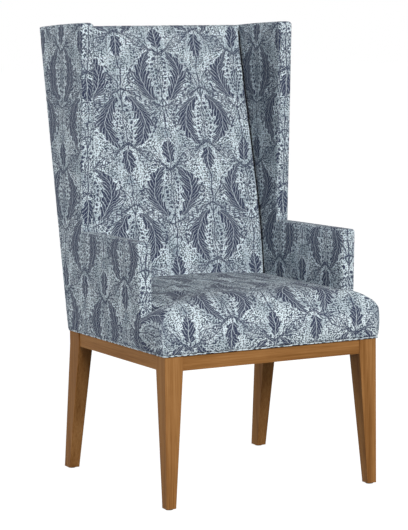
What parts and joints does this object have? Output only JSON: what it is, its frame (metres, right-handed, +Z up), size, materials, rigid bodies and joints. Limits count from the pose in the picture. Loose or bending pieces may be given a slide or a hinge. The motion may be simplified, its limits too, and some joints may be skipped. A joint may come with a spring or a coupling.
{
  "type": "host armchair",
  "caption": "Tall upholstered host armchair with slim wings, low track arms and a tight crowned seat, on a wooden base with tapered legs and apron rails.",
  "frame": {"origin": "on the floor, under the middle of the chair's bounding box", "axes": "+Z up, -Y the way a sitter faces, +X to the right for someone who stands in front and looks at the chair"},
  "size_m": [0.616, 0.696, 1.1717],
  "materials": {
    "show_wood": "satin clear lacquer on straight-grained light brown wood",
    "frame_wood": "raw plywood and hardwood",
    "steel": "zinc-plated wire and screws",
    "glide_nylon": "moulded black nylon",
    "back_board": "plain hardboard",
    "foam": "open-cell foam and wadding",
    "lining_cloth": "non-woven black cloth",
    "webbing": "elastic webbing",
    "upholstery": "printed woven upholstery fabric, matt"
  },
  "bodies": {
    "root": {"apron_dowels": "frame_wood", "back_foam": "foam", "back_strap_1": "webbing", "back_strap_2": "webbing", "back_strap_3": "webbing", "base_welt": "upholstery", "body_screws": "steel", "corner_screws": "steel", "dust_cover": "lining_cloth", "foot_glides": "glide_nylon", "frame_screws": "steel", "front_apron": "show_wood", "front_left_corner_block": "frame_wood", "front_left_leg": "show_wood", "front_right_corner_block": "frame_wood", "front_right_leg": "show_wood", "front_seat_rail": "frame_wood", "inside_back_cover": "upholstery", "left_apron": "show_wood", "left_border_band": "upholstery", "left_edge_pad": "foam", "left_inner_pad": "foam", "left_inside_arm_cover": "upholstery", "left_inside_wing_cover": "upholstery", "left_outer_pad": "foam", "left_outside_arm_cover": "upholstery", "left_outside_wing_cover": "upholstery", "left_side_frame": "frame_wood", "lower_back_rail": "frame_wood", "middle_back_rail": "frame_wood", "outside_back_board": "back_board", "outside_back_cover": "upholstery", "rear_apron": "show_wood", "rear_left_corner_block": "frame_wood", "rear_left_leg": "show_wood", "rear_right_corner_block": "frame_wood", "rear_right_leg": "show_wood", "rear_seat_rail": "frame_wood", "right_apron": "show_wood", "right_border_band": "upholstery", "right_edge_pad": "foam", "right_inner_pad": "foam", "right_inside_arm_cover": "upholstery", "right_inside_wing_cover": "upholstery", "right_outer_pad": "foam", "right_outside_arm_cover": "upholstery", "right_outside_wing_cover": "upholstery", "right_side_frame": "frame_wood", "seat_cover": "upholstery", "seat_foam": "foam", "seat_spring_1": "steel", "seat_spring_2": "steel", "seat_spring_3": "steel", "seat_spring_4": "steel", "seat_spring_5": "steel", "spring_clips": "steel", "spring_deck": "lining_cloth", "top_back_rail": "frame_wood"}
  },
  "joints": []
}
